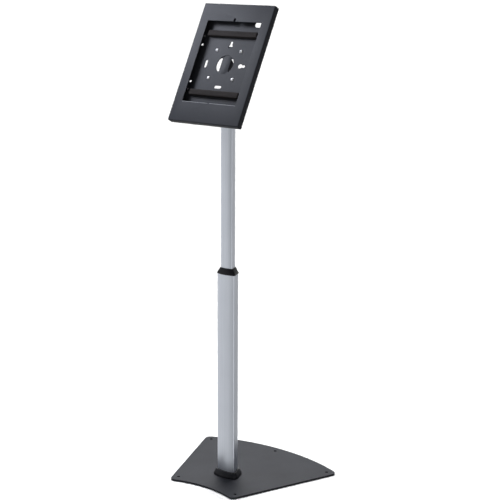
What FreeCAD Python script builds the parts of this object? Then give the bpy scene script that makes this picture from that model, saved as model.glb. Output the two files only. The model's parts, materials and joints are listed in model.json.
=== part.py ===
import FreeCAD, Part

import math
import os

# Height-adjustable floor stand for a tablet computer. Millimetres, +Z up, +X to the right of
# a person facing the screen, -Y towards that person. The origin is on the floor, under the
# axis of the post. The head (case and tilt bracket) is modelled upright with its tilt pivot
# at the origin, then leant back and lifted onto the post.

V = FreeCAD.Vector
X_AXIS = V(1, 0, 0)
Y_AXIS = V(0, 1, 0)
Z_AXIS = V(0, 0, 1)
ORIGIN = V(0, 0, 0)

# General clearances
RUNNING = 0.05
SLIDING = 0.2
CLEARANCE = 0.3
FACE_SEAT = 0.1

# Button heads of the small screws, as multiples of the thread
BUTTON_HEAD_WIDTH = 1.9
BUTTON_HEAD_HEIGHT = 0.55

# Base plate: concave front arc, straight slanted sides, convex rear arc
PLATE_THICKNESS = 4.0
PLATE_FRONT_HALF = 103.7
PLATE_FRONT_Y = -116.2
PLATE_FRONT_SAG = 20.2
PLATE_REAR_HALF = 223.8
PLATE_REAR_Y = 187.8
PLATE_REAR_SAG = 48.5
PLATE_CORNER_RADIUS = 15.0
PLATE_EDGE_RADIUS = 0.6
FLOOR_HOLE_DIAMETER = 8.5
FLOOR_HOLES = [(-94.7, -90.1), (94.7, -90.1), (-198.3, 176.4), (198.3, 176.4), (0.0, 214.8)]
PAD_THICKNESS = 1.5
PAD_DIAMETER = 30.0
PADS = [(-70.0, -72.0), (70.0, -72.0), (-170.0, 155.0), (170.0, 155.0), (0.0, 180.0), (0.0, 0.0)]
PLATE_TOP = PAD_THICKNESS + PLATE_THICKNESS

# Lower post: aluminium extrusion, wider in front than at the rear, with bowed front and rear
# faces and a screw port near each corner
LOWER_FRONT_WIDTH = 55.0
LOWER_REAR_WIDTH = 34.8
LOWER_FRONT_Y = -10.0
LOWER_REAR_Y = 23.0
LOWER_FRONT_BOW = 4.0
LOWER_REAR_BOW = 2.0
LOWER_CORNER = 3.0
LOWER_WALL = 2.0
LOWER_LENGTH = 551.0
FRONT_PORT_INSET = 4.7
REAR_PORT_INSET = 3.2
PORT_INSET_Y = 3.6
LOWER_PORT_WALL = 1.05
POST_BOLT_DIAMETER = 5.0
POST_BOLT_LENGTH = 32.0
POST_BOLT_HEAD = 9.2
PORT_MOUTH = 2.4

# Upper post: the same form, smaller, with two screw ports
UPPER_FRONT_WIDTH = 36.6
UPPER_REAR_WIDTH = 21.3
UPPER_FRONT_Y = -7.0
UPPER_REAR_Y = 18.0
UPPER_FRONT_BOW = 3.0
UPPER_REAR_BOW = 1.5
UPPER_CORNER = 2.5
UPPER_WALL = 1.8
UPPER_LENGTH = 580.0
UPPER_PORT_INSET = 6.9
UPPER_PORT_Y = 1.0
UPPER_PORT_WALL = 1.35
GLIDE_SCREW_DIAMETER = 4.0
GLIDE_SCREW_LENGTH = 30.0
GLIDE_HEIGHT = 20.0
GLIDE_PLUG_HEIGHT = 18.0

# Foot trim, collar and guide bush
TRIM_HEIGHT = 16.0
TRIM_LIP = 4.0
TRIM_FLARE = 10.5
TRIM_RIM = 4.0
TRIM_EDGE = 2.0
TRIM_WALL = 2.0
COLLAR_HEIGHT = 16.5
COLLAR_LIP = 2.0
COLLAR_OVERHANG = 1.2
COLLAR_TOP_WALL = 1.8
COLLAR_SKIRT = 12.0
BUSH_HEIGHT = 42.0

# Height lock: threaded insert in the rear wall, button-head screw and pressure shoe
LOCK_BELOW_TOP = 34.0
LOCK_SCREW_DIAMETER = 6.0
LOCK_HEAD_DIAMETER = 10.5
LOCK_HEAD_HEIGHT = 3.3
LOCK_HEAD_GAP = 2.5
INSERT_FLANGE_DIAMETER = 13.0
INSERT_FLANGE = 1.2
INSERT_BODY_DIAMETER = 9.0
SHOE_DIAMETER = 8.0

# Tilt pivot and post head
TILT_ANGLE = 28.2
PIVOT_HEIGHT = 1068.3
PIVOT_ABOVE_POST = 20.0
HEAD_FLANGE = 3.0
HEAD_PLUG_HEIGHT = 34.0
HEAD_SCREW_DIAMETER = 4.0
HEAD_SCREW_LENGTH = 9.0
HEAD_SCREW_RELIEF = 1.0
HEAD_SCREWS_BELOW_TOP = [10.0, 25.5]
LUG_WIDTH = 20.0
LUG_RADIUS = 12.0
LUG_FOOT_HALF = 9.5
PIVOT_BOLT_DIAMETER = 8.0
FRICTION_WASHER = 1.0
FRICTION_WASHER_RADIUS = 11.0
STEEL_WASHER = 1.6
STEEL_WASHER_RADIUS = 8.0
PIVOT_NUT_HEIGHT = 7.0
PIVOT_NUT_ACROSS = 13.0
PIVOT_HEAD_DIAMETER = 14.0
PIVOT_HEAD_HEIGHT = 4.4
PIVOT_BOLT_END = 2.0

# Tilt bracket: web behind the mounting plate, ears reaching back to the pivot
BRACKET_SHEET = 3.0
WEB_TOP = 15.0
WEB_BOTTOM = -42.0
WEB_END_RADIUS = 5.0
EAR_BOTTOM = -16.0
EAR_RADIUS = 13.0

# Mounting plate with the 75 mm square screw pattern
PATTERN = 75.0
PATTERN_HOLE = 4.0
SPIDER_THICKNESS = 2.5
SPIDER_LOBE = 9.0
SPIDER_WAIST = 34.0
SPIDER_WAIST_REACH = 25.5
STRAP_HALF = 13.5
TONGUE_REACH = 49.3
TONGUE_CORNER = 3.0
WINDOW_RADIUS = 27.0
WINDOW_HALF_HEIGHT = 17.5
WINDOW_CORNER = 2.0

# Case: front frame over a rear tray
CASE_WIDTH = 221.0
CASE_HEIGHT = 319.3
CASE_SHEET = 1.5
CASE_CORNER = 2.5
CASE_BEND = 2.0
FACE_TO_PIVOT = 38.0
CASE_ABOVE_PIVOT = 11.3
PATTERN_ABOVE_CASE = 2.9
OPENING_WIDTH = 167.2
OPENING_HEIGHT = 218.8
OPENING_CORNER = 1.0
OPENING_EDGE = 0.6
CAMERA_NOTCH_WIDTH = 5.5
CAMERA_NOTCH_HEIGHT = 8.5
BUTTON_NOTCH_WIDTH = 5.0
BUTTON_NOTCH_HEIGHT = 3.0
SKIRT_DEPTH = 15.8
COVER_GAP = 1.0
FRONT_GAP = 0.5
TRAY_DEPTH = 17.0
TRAY_CORNER = 3.0

# Holes in the tray floor, measured from the centre of the screw pattern
CABLE_HOLE_DIAMETER = 51.0
TRAY_SCREW_HOLE = 4.6
KEYHOLE_DISTANCE = 47.8
KEYHOLE_DIAMETER = 12.0
KEYHOLE_SLOT_END = 62.6
KEYHOLE_SLOT_WIDTH = 6.5
CROSS_SLOT_DISTANCE = 60.0
SIDE_SLOT_DISTANCE = 59.4
SIDE_ROW_DROP = 1.1
CROSS_SLOT_LENGTH = 21.0
CROSS_SLOT_WIDTH = 7.4
LENS_SLOT_INNER = 62.2
LENS_SLOT_OUTER = 76.0
LENS_SLOT_HEIGHT = 111.2
LENS_SLOT_WIDTH = 16.0
RAIL_HOLE_FROM_SIDE = 19.9
RAIL_HOLE_PITCH = 100.0
RAIL_HOLE_DIAMETER = 6.5

# Foam strips
FOAM_LENGTH = 152.0
FOAM_WIDTH = 15.0
FOAM_THICKNESS = 10.0
FOAM_EDGE = 1.0
FOAM_TOP = 82.3
FOAM_BOTTOM = -77.5

# Screws that hold the tray to the mounting plate
TRAY_SCREW_LENGTH = 6.0
TRAY_SCREW_HEAD = 8.0
TRAY_SCREW_HEAD_HEIGHT = 2.6

# Hinges at the left rear edge of the case
HINGE_PIN_DIAMETER = 2.4
KNUCKLE_DIAMETER = 5.5
HINGE_HEIGHTS = [76.5, -68.0]
HINGE_LENGTH = 42.0
TRAY_KNUCKLE_LENGTH = 16.0
LEAF_SHEET = 1.5
LEAF_REACH = 21.5
RIVET_DIAMETER = 3.2
RIVET_HEAD_DIAMETER = 6.0
RIVET_HEAD_HEIGHT = 0.9
RIVET_OFFSETS = [7.0, 15.0]

# Cam lock in the lower margin of the tray
LOCK_FROM_SIDE = 39.5
LOCK_FROM_BOTTOM = 21.3
BARREL_DIAMETER = 12.0
BARREL_LENGTH = 9.0
BARREL_FLANGE_DIAMETER = 15.0
BARREL_FLANGE = 2.0
BARREL_NUT = 2.5
BARREL_NUT_ACROSS = 15.0
PLUG_DIAMETER = 8.0
KEY_SLOT_WIDTH = 5.0
KEY_SLOT_HEIGHT = 1.2
KEY_SLOT_DEPTH = 5.0
CAM_THICKNESS = 1.6
CAM_WIDTH = 8.0
CAM_REACH = 14.5
CAM_SCREW_DIAMETER = 3.0
CAM_SCREW_HEAD = 5.5
CAM_SCREW_HEAD_HEIGHT = 1.5
CAM_SCREW_BITE = 5.0
KEEPER_SHEET = 1.2
KEEPER_WIDTH = 12.0
KEEPER_LIP = 7.0
KEEPER_GAP = 0.5

# Places that follow from the sizes above
LOWER_TOP = PLATE_TOP + LOWER_LENGTH
UPPER_TOP = PIVOT_HEIGHT - PIVOT_ABOVE_POST
UPPER_BOTTOM = UPPER_TOP - UPPER_LENGTH
UPPER_REAR = UPPER_REAR_Y + UPPER_REAR_BOW
LOWER_REAR = LOWER_REAR_Y + LOWER_REAR_BOW
UPPER_PORT_X = UPPER_FRONT_WIDTH / 2 - UPPER_PORT_INSET
LOCK_HEIGHT = LOWER_TOP - LOCK_BELOW_TOP
EAR_INNER = LUG_WIDTH / 2 + FRICTION_WASHER
EAR_OUTER = EAR_INNER + BRACKET_SHEET
FACE_Y = -FACE_TO_PIVOT
TRAY_REAR_Y = FACE_Y + TRAY_DEPTH
TRAY_FLOOR_Y = TRAY_REAR_Y - CASE_SHEET
SPIDER_REAR_Y = TRAY_REAR_Y + SPIDER_THICKNESS
WEB_REAR_Y = SPIDER_REAR_Y + BRACKET_SHEET
PATTERN_Z = CASE_ABOVE_PIVOT + PATTERN_ABOVE_CASE
EAR_TOP = PATTERN_Z + WEB_TOP
TRAY_HALF_WIDTH = CASE_WIDTH / 2 - CASE_SHEET - COVER_GAP
TRAY_HALF_HEIGHT = CASE_HEIGHT / 2 - CASE_SHEET - COVER_GAP
LOCK_X = CASE_WIDTH / 2 - LOCK_FROM_SIDE
LOCK_Z = CASE_ABOVE_PIVOT - CASE_HEIGHT / 2 + LOCK_FROM_BOTTOM
RAIL_HOLE_X = CASE_WIDTH / 2 - RAIL_HOLE_FROM_SIDE
HINGE_X = -CASE_WIDTH / 2 + KNUCKLE_DIAMETER / 2
HINGE_Y = TRAY_REAR_Y + KNUCKLE_DIAMETER / 2 + CLEARANCE


def union(shapes):
    """Fuse a list of solids into one clean solid."""
    body = shapes[0]
    for other in shapes[1:]:
        body = body.fuse(other)
    return body.removeSplitter()


def group(solids):
    """Keep separate solids together as one shape."""
    return Part.makeCompound(solids)


def box(x0, x1, y0, y1, z0, z1):
    """A box between two corners."""
    return Part.makeBox(x1 - x0, y1 - y0, z1 - z0, V(x0, y0, z0))


def rod(radius, start, direction, length):
    """A round bar from a start point along a direction."""
    return Part.makeCylinder(radius, length, start, direction)


def ring(outer, inner, start, direction, length):
    """A round tube or washer."""
    return rod(outer, start, direction, length).cut(rod(inner, start, direction, length))


def fillet_where(shape, radius, wanted):
    """Round every edge whose bounding box passes the test."""
    edges = [edge for edge in shape.Edges if wanted(edge.BoundBox)]
    return shape.makeFillet(radius, edges)


def near(a, b):
    return abs(a - b) < 1e-4


def corner_edge(b, thickness, height=None):
    """Whether an edge runs straight through a plate that faces Y, at any height or at one."""
    through = near(b.YLength, thickness) and near(b.XLength, 0) and near(b.ZLength, 0)
    return through and (height is None or near(b.ZMin, height))


def hexagon(across, start, direction, height):
    """A hexagonal prism, given its size across flats."""
    corner = across / math.sqrt(3)
    points = []
    for i in range(7):
        angle = math.radians(60 * i + 30)
        points.append(V(corner * math.cos(angle), corner * math.sin(angle), 0))
    prism = Part.Face(Part.makePolygon(points)).extrude(V(0, 0, height))
    prism.Placement = FreeCAD.Placement(start, FreeCAD.Rotation(Z_AXIS, direction))
    return prism


def button_screw(diameter, head_diameter, head_height, length, seat, direction):
    """A domed screw with a hexagon socket. The head rises from the seat against the direction."""
    half = head_diameter / 2
    top = half * 0.45
    dome = Part.Arc(V(half, 0, 0), V(half * 0.86, 0, -head_height * 0.62), V(top, 0, -head_height))
    outline = [
        Part.makeLine(V(0, 0, -head_height), V(0, 0, length)),
        Part.makeLine(V(0, 0, length), V(diameter / 2, 0, length)),
        Part.makeLine(V(diameter / 2, 0, length), V(diameter / 2, 0, 0)),
        Part.makeLine(V(diameter / 2, 0, 0), V(half, 0, 0)),
        dome.toShape(),
        Part.makeLine(V(top, 0, -head_height), V(0, 0, -head_height)),
    ]
    face = Part.Face(Part.Wire(Part.__sortEdges__(outline)))
    screw = face.revolve(ORIGIN, Z_AXIS, 360)
    socket = hexagon(head_diameter * 0.38, V(0, 0, -head_height), Z_AXIS, head_height * 0.6)
    screw = screw.cut(socket)
    screw.Placement = FreeCAD.Placement(seat, FreeCAD.Rotation(Z_AXIS, direction))
    return screw


def small_screw(diameter, length, seat, direction):
    """A button-head screw with the usual head for its thread."""
    head = diameter * BUTTON_HEAD_WIDTH
    return button_screw(diameter, head, diameter * BUTTON_HEAD_HEIGHT, length, seat, direction)


def countersunk_screw(diameter, head_diameter, length, seat, direction):
    """A flat-headed screw whose head ends flush at the seat point."""
    depth = (head_diameter - diameter) / 2
    cone = Part.makeCone(head_diameter / 2, diameter / 2, depth, seat, direction)
    shank = rod(diameter / 2, seat, direction, length)
    socket = hexagon(head_diameter * 0.36, seat, direction, depth * 0.8)
    return union([cone, shank]).cut(socket)


def bowed_outline(front_width, rear_width, front_y, rear_y, front_bow, rear_bow, corner, grow):
    """Closed outline, wide in front and narrow behind, bowed ends, round corners, offset by grow."""
    front_half = front_width / 2 - corner
    rear_half = rear_width / 2 - corner
    low = front_y + corner
    high = rear_y - corner
    edges = [
        Part.Arc(V(-front_half, low, 0), V(0, low - front_bow, 0), V(front_half, low, 0)).toShape(),
        Part.makeLine(V(front_half, low, 0), V(rear_half, high, 0)),
        Part.Arc(V(rear_half, high, 0), V(0, high + rear_bow, 0), V(-rear_half, high, 0)).toShape(),
        Part.makeLine(V(-rear_half, high, 0), V(-front_half, low, 0)),
    ]
    return Part.Wire(edges).makeOffset2D(corner + grow)


def lower_outline(grow=0.0):
    return bowed_outline(LOWER_FRONT_WIDTH, LOWER_REAR_WIDTH, LOWER_FRONT_Y, LOWER_REAR_Y,
                         LOWER_FRONT_BOW, LOWER_REAR_BOW, LOWER_CORNER, grow)


def upper_outline(grow=0.0):
    return bowed_outline(UPPER_FRONT_WIDTH, UPPER_REAR_WIDTH, UPPER_FRONT_Y, UPPER_REAR_Y,
                         UPPER_FRONT_BOW, UPPER_REAR_BOW, UPPER_CORNER, grow)


def prism(wire, z0, z1):
    """Extrude a flat outline between two heights."""
    solid = Part.Face(wire).extrude(V(0, 0, z1 - z0))
    solid.translate(V(0, 0, z0))
    return solid


def taper(low, z0, high, z1):
    """A solid between one outline at a low height and another at a high one."""
    low.translate(V(0, 0, z0))
    high.translate(V(0, 0, z1))
    return Part.makeLoft([low, high], True, True)


def lower_port_centres():
    front_x = LOWER_FRONT_WIDTH / 2 - FRONT_PORT_INSET
    front_y = LOWER_FRONT_Y + PORT_INSET_Y
    rear_x = LOWER_REAR_WIDTH / 2 - REAR_PORT_INSET
    rear_y = LOWER_REAR_Y - PORT_INSET_Y
    return [V(-front_x, front_y, 0), V(front_x, front_y, 0), V(-rear_x, rear_y, 0), V(rear_x, rear_y, 0)]


def upper_port_centres():
    return [V(-UPPER_PORT_X, UPPER_PORT_Y, 0), V(UPPER_PORT_X, UPPER_PORT_Y, 0)]


def columns(centres, radius, z0, z1):
    """Round columns at the given centres, as a list."""
    return [rod(radius, V(c.x, c.y, z0), Z_AXIS, z1 - z0) for c in centres]


def plate_outline():
    """Outline of the base plate before its corners are rounded."""
    front_left = V(-PLATE_FRONT_HALF, PLATE_FRONT_Y, 0)
    front_right = V(PLATE_FRONT_HALF, PLATE_FRONT_Y, 0)
    rear_left = V(-PLATE_REAR_HALF, PLATE_REAR_Y, 0)
    rear_right = V(PLATE_REAR_HALF, PLATE_REAR_Y, 0)
    front_middle = V(0, PLATE_FRONT_Y + PLATE_FRONT_SAG, 0)
    rear_middle = V(0, PLATE_REAR_Y + PLATE_REAR_SAG, 0)
    return Part.Wire([
        Part.Arc(front_left, front_middle, front_right).toShape(),
        Part.makeLine(front_right, rear_right),
        Part.Arc(rear_right, rear_middle, rear_left).toShape(),
        Part.makeLine(rear_left, front_left),
    ])


def base_plate():
    """Steel plate with floor holes and countersinks for the post bolts."""
    plate = prism(plate_outline(), PAD_THICKNESS, PLATE_TOP)
    plate = fillet_where(plate, PLATE_CORNER_RADIUS, lambda b: near(b.ZLength, PLATE_THICKNESS))
    plate = fillet_where(plate, PLATE_EDGE_RADIUS, lambda b: near(b.ZMin, PLATE_TOP))
    cuts = []
    for x, y in FLOOR_HOLES:
        cuts.append(rod(FLOOR_HOLE_DIAMETER / 2, V(x, y, 0), Z_AXIS, PLATE_TOP + 1))
    radius = POST_BOLT_DIAMETER / 2 + RUNNING
    head = POST_BOLT_HEAD / 2 + RUNNING
    for c in lower_port_centres():
        start = V(c.x, c.y, PAD_THICKNESS)
        cuts.append(rod(radius, start, Z_AXIS, PLATE_THICKNESS))
        cuts.append(Part.makeCone(head, radius, head - radius, start, Z_AXIS))
    return plate.cut(cuts)


def floor_pads():
    """Round anti-slip pads under the plate."""
    return group([rod(PAD_DIAMETER / 2, V(x, y, 0), Z_AXIS, PAD_THICKNESS) for x, y in PADS])


def post_bolts():
    """Flat-headed bolts from under the plate into the ports of the lower post."""
    bolts = []
    for c in lower_port_centres():
        seat = V(c.x, c.y, PAD_THICKNESS)
        bolts.append(countersunk_screw(POST_BOLT_DIAMETER, POST_BOLT_HEAD, POST_BOLT_LENGTH, seat, Z_AXIS))
    return group(bolts)


def lower_post():
    """Extruded lower post: bowed tube with four open screw ports and the lock screw hole."""
    bore = POST_BOLT_DIAMETER / 2 + RUNNING
    outside = prism(lower_outline(), 0, LOWER_LENGTH)
    body = outside.cut(prism(lower_outline(-LOWER_WALL), 0, LOWER_LENGTH))
    centres = lower_port_centres()
    for column in columns(centres, bore + LOWER_PORT_WALL, 0, LOWER_LENGTH):
        body = body.fuse(column.common(outside))
    cuts = columns(centres, bore, 0, LOWER_LENGTH)
    for c in centres:
        inward = -1 if c.x > 0 else 1
        ends = sorted([c.x, c.x + inward * (bore + LOWER_PORT_WALL + 1)])
        cuts.append(box(ends[0], ends[1], c.y - PORT_MOUTH / 2, c.y + PORT_MOUTH / 2, 0, LOWER_LENGTH))
    body = body.cut(cuts).removeSplitter()
    body.translate(V(0, 0, PLATE_TOP))
    hole = INSERT_BODY_DIAMETER / 2 + RUNNING
    return body.cut(rod(hole, V(0, 0, LOCK_HEIGHT), Y_AXIS, LOWER_REAR + 1))


def trim_form(inset, top):
    """Outer form of the foot trim: a low upright lip under a slope up to the post."""
    lip_top = PLATE_TOP + TRIM_LIP
    flare = TRIM_FLARE - inset
    lip = prism(lower_outline(flare), PLATE_TOP, lip_top)
    slope = taper(lower_outline(flare), lip_top, lower_outline(TRIM_RIM - inset), top)
    return union([lip, slope])


def foot_trim():
    """Moulded flared ring around the foot of the lower post, hollow underneath."""
    top = PLATE_TOP + TRIM_HEIGHT
    outer = fillet_where(trim_form(0, top), TRIM_EDGE, lambda b: near(b.ZMin, top))
    inner = trim_form(TRIM_WALL, top - TRIM_WALL)
    return outer.cut([inner, prism(lower_outline(SLIDING), PLATE_TOP, top)])


def in_lower_post(z0, z1):
    """What fits inside the lower post between two heights, clear of its walls and ports."""
    plug = prism(lower_outline(-LOWER_WALL - SLIDING), z0, z1)
    keep_out = POST_BOLT_DIAMETER / 2 + RUNNING + LOWER_PORT_WALL + SLIDING
    return plug.cut(columns(lower_port_centres(), keep_out, z0, z1))


def collar():
    """Tapered ring on top of the lower post, with a skirt that plugs into it."""
    lip_top = LOWER_TOP + COLLAR_LIP
    top = LOWER_TOP + COLLAR_HEIGHT
    lip = prism(lower_outline(COLLAR_OVERHANG), LOWER_TOP, lip_top)
    slope = taper(lower_outline(COLLAR_OVERHANG), lip_top, upper_outline(COLLAR_TOP_WALL), top)
    skirt = in_lower_post(LOWER_TOP - COLLAR_SKIRT, LOWER_TOP)
    body = union([lip, slope, skirt])
    return body.cut(prism(upper_outline(SLIDING), LOWER_TOP - COLLAR_SKIRT, top))


def guide_bush():
    """Sliding liner between the two posts, with a round window for the pressure shoe."""
    top = LOWER_TOP - COLLAR_SKIRT
    body = in_lower_post(top - BUSH_HEIGHT, top)
    body = body.cut(prism(upper_outline(SLIDING / 2), top - BUSH_HEIGHT, top))
    window = rod(SHOE_DIAMETER / 2 + SLIDING, V(0, 0, LOCK_HEIGHT), Y_AXIS, LOWER_REAR)
    return body.cut(window)


def lock_insert():
    """Flanged threaded insert in the rear wall."""
    inner_y = LOWER_REAR - LOWER_WALL
    flange = rod(INSERT_FLANGE_DIAMETER / 2, V(0, LOWER_REAR, LOCK_HEIGHT), Y_AXIS, INSERT_FLANGE)
    barrel = rod(INSERT_BODY_DIAMETER / 2, V(0, inner_y, LOCK_HEIGHT), Y_AXIS, LOWER_WALL)
    bore = rod(LOCK_SCREW_DIAMETER / 2 + RUNNING, V(0, 0, LOCK_HEIGHT), Y_AXIS, LOWER_REAR * 2)
    return union([flange, barrel]).cut(bore)


def shoe_outer_y():
    return LOWER_REAR - LOWER_WALL - CLEARANCE


def lock_shoe():
    """Plastic shoe that the lock screw presses against the upper post."""
    start = UPPER_REAR + FACE_SEAT
    return rod(SHOE_DIAMETER / 2, V(0, start, LOCK_HEIGHT), Y_AXIS, shoe_outer_y() - start)


def lock_screw():
    """Button-head screw that locks the height."""
    seat = V(0, LOWER_REAR + INSERT_FLANGE + LOCK_HEAD_GAP, LOCK_HEIGHT)
    length = seat.y - shoe_outer_y()
    return button_screw(LOCK_SCREW_DIAMETER, LOCK_HEAD_DIAMETER, LOCK_HEAD_HEIGHT, length, seat, -Y_AXIS)


def upper_post():
    """Extruded upper post with two open screw ports and holes for the head screws."""
    bore = GLIDE_SCREW_DIAMETER / 2 + RUNNING
    outside = prism(upper_outline(), 0, UPPER_LENGTH)
    body = outside.cut(prism(upper_outline(-UPPER_WALL), 0, UPPER_LENGTH))
    centres = upper_port_centres()
    for column in columns(centres, bore + UPPER_PORT_WALL, 0, UPPER_LENGTH):
        body = body.fuse(column.common(outside))
    cuts = columns(centres, bore, 0, UPPER_LENGTH)
    for c in centres:
        inward = -1 if c.x > 0 else 1
        ends = sorted([c.x, c.x + inward * (bore + UPPER_PORT_WALL + 1)])
        cuts.append(box(ends[0], ends[1], c.y - PORT_MOUTH / 2, c.y + PORT_MOUTH / 2, 0, UPPER_LENGTH))
    body = body.cut(cuts).removeSplitter()
    body.translate(V(0, 0, UPPER_BOTTOM))
    for z in head_screw_heights():
        body = body.cut(rod(HEAD_SCREW_DIAMETER / 2 + RUNNING, V(0, 0, z), Y_AXIS, UPPER_REAR + 1))
    return body


def in_upper_post(z0, z1):
    """What fits inside the upper post between two heights, clear of its walls and ports."""
    plug = prism(upper_outline(-UPPER_WALL - SLIDING), z0, z1)
    keep_out = GLIDE_SCREW_DIAMETER / 2 + RUNNING + UPPER_PORT_WALL + SLIDING
    cuts = columns(upper_port_centres(), keep_out, z0, z1)
    reach = UPPER_FRONT_WIDTH / 2
    for x0, x1 in ((-reach, -UPPER_PORT_X), (UPPER_PORT_X, reach)):
        cuts.append(box(x0, x1, UPPER_PORT_Y - keep_out, UPPER_PORT_Y + keep_out, z0, z1))
    return plug.cut(cuts)


def glide_block():
    """Plastic block on the bottom end of the upper post that runs inside the lower post."""
    low = UPPER_BOTTOM - GLIDE_HEIGHT
    block = in_lower_post(low, UPPER_BOTTOM)
    block = union([block, in_upper_post(UPPER_BOTTOM, UPPER_BOTTOM + GLIDE_PLUG_HEIGHT)])
    radius = GLIDE_SCREW_DIAMETER / 2 + RUNNING
    head_room = GLIDE_SCREW_DIAMETER * BUTTON_HEAD_WIDTH / 2 + SLIDING
    cuts = columns(upper_port_centres(), radius, low, UPPER_BOTTOM)
    cuts += columns(upper_port_centres(), head_room, low, low + GLIDE_HEIGHT / 2)
    return block.cut(cuts)


def glide_screws():
    """Screws from below, through the glide block into the ports of the upper post."""
    screws = []
    for c in upper_port_centres():
        seat = V(c.x, c.y, UPPER_BOTTOM - GLIDE_HEIGHT / 2)
        screws.append(small_screw(GLIDE_SCREW_DIAMETER, GLIDE_SCREW_LENGTH, seat, Z_AXIS))
    return group(screws)


def head_screw_heights():
    return [UPPER_TOP - below for below in HEAD_SCREWS_BELOW_TOP]


def post_head():
    """Cast head: plug inside the post, flange on its end and a lug for the tilt pivot."""
    plug_bottom = UPPER_TOP - HEAD_PLUG_HEIGHT
    plug = in_upper_post(plug_bottom, UPPER_TOP)
    flange = prism(upper_outline(), UPPER_TOP, UPPER_TOP + HEAD_FLANGE)
    foot = HEAD_FLANGE - PIVOT_ABOVE_POST
    half = LUG_WIDTH / 2
    distance = math.hypot(LUG_FOOT_HALF, foot)
    angle = math.atan2(foot, LUG_FOOT_HALF) + math.acos(LUG_RADIUS / distance)
    tangent_y = LUG_RADIUS * math.cos(angle)
    tangent_z = LUG_RADIUS * math.sin(angle)
    wire = Part.makePolygon([
        V(-half, -LUG_FOOT_HALF, foot),
        V(-half, LUG_FOOT_HALF, foot),
        V(-half, tangent_y, tangent_z),
        V(-half, -tangent_y, tangent_z),
        V(-half, -LUG_FOOT_HALF, foot),
    ])
    lug = Part.Face(wire).extrude(V(LUG_WIDTH, 0, 0))
    lug = lug.fuse(rod(LUG_RADIUS, V(-half, 0, 0), X_AXIS, LUG_WIDTH))
    lug.translate(V(0, 0, PIVOT_HEIGHT))
    body = union([plug, flange, lug])
    bore = PIVOT_BOLT_DIAMETER / 2 + RUNNING
    cuts = [rod(bore, V(-half, 0, PIVOT_HEIGHT), X_AXIS, LUG_WIDTH)]
    for z in head_screw_heights():
        blind_end = UPPER_REAR - HEAD_SCREW_LENGTH - HEAD_SCREW_RELIEF
        cuts.append(rod(HEAD_SCREW_DIAMETER / 2 + RUNNING, V(0, blind_end, z), Y_AXIS, UPPER_REAR))
    return body.cut(cuts)


def head_screws():
    """Button-head screws that hold the post head in the upper post, from the rear."""
    screws = []
    for z in head_screw_heights():
        screws.append(small_screw(HEAD_SCREW_DIAMETER, HEAD_SCREW_LENGTH, V(0, UPPER_REAR, z), -Y_AXIS))
    return group(screws)


def friction_washers():
    """Plastic washers between the lug and the ears of the bracket."""
    bore = PIVOT_BOLT_DIAMETER / 2 + RUNNING
    length = FRICTION_WASHER - RUNNING
    washers = []
    for side in (-1, 1):
        start = V(side * LUG_WIDTH / 2, 0, PIVOT_HEIGHT)
        washers.append(ring(FRICTION_WASHER_RADIUS, bore, start, V(side, 0, 0), length))
    return group(washers)


def lean(shape):
    """Lean an upright head piece back about the pivot and lift it onto the post."""
    shape.rotate(ORIGIN, X_AXIS, -TILT_ANGLE)
    shape.translate(V(0, 0, PIVOT_HEIGHT))
    return shape


def ear(x0):
    """One ear: a plate from the web back to a round boss on the pivot axis."""
    web_front = SPIDER_REAR_Y
    points = []
    for z, turn in ((EAR_BOTTOM, 1), (EAR_TOP, -1)):
        distance = math.hypot(WEB_REAR_Y, z)
        angle = math.atan2(z, WEB_REAR_Y) + turn * math.acos(EAR_RADIUS / distance)
        points.append(V(x0, EAR_RADIUS * math.cos(angle), EAR_RADIUS * math.sin(angle)))
    wire = Part.makePolygon([
        V(x0, web_front, EAR_BOTTOM),
        V(x0, WEB_REAR_Y, EAR_BOTTOM),
        points[0],
        points[1],
        V(x0, WEB_REAR_Y, EAR_TOP),
        V(x0, web_front, EAR_TOP),
        V(x0, web_front, EAR_BOTTOM),
    ])
    plate = Part.Face(wire).extrude(V(BRACKET_SHEET, 0, 0))
    return plate.fuse(rod(EAR_RADIUS, V(x0, 0, 0), X_AXIS, BRACKET_SHEET))


def tilt_bracket():
    """Bent steel channel: flat web with two ears that carry the pivot bolt."""
    bottom = PATTERN_Z + WEB_BOTTOM
    web = box(-EAR_OUTER, EAR_OUTER, SPIDER_REAR_Y, WEB_REAR_Y, bottom, EAR_TOP)
    web = fillet_where(web, WEB_END_RADIUS, lambda b: corner_edge(b, BRACKET_SHEET, bottom))
    body = union([web, ear(-EAR_OUTER), ear(EAR_INNER)])
    bore = rod(PIVOT_BOLT_DIAMETER / 2 + RUNNING, V(-EAR_OUTER, 0, 0), X_AXIS, EAR_OUTER * 2)
    return lean(body.cut(bore))


def pattern_points():
    half = PATTERN / 2
    return [(x, PATTERN_Z + z) for x in (-half, half) for z in (-half, half)]


def cable_window(side):
    """One of the two windows in the mounting plate: a piece of a disc beside the strap."""
    y0 = TRAY_REAR_Y
    low = PATTERN_Z - WINDOW_HALF_HEIGHT
    high = PATTERN_Z + WINDOW_HALF_HEIGHT
    ends = sorted([side * STRAP_HALF, side * WINDOW_RADIUS])
    window = rod(WINDOW_RADIUS, V(0, y0, PATTERN_Z), Y_AXIS, SPIDER_THICKNESS)
    window = window.common(box(ends[0], ends[1], y0, y0 + SPIDER_THICKNESS, low, high))
    return fillet_where(window, WINDOW_CORNER, lambda b: corner_edge(b, SPIDER_THICKNESS))


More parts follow.
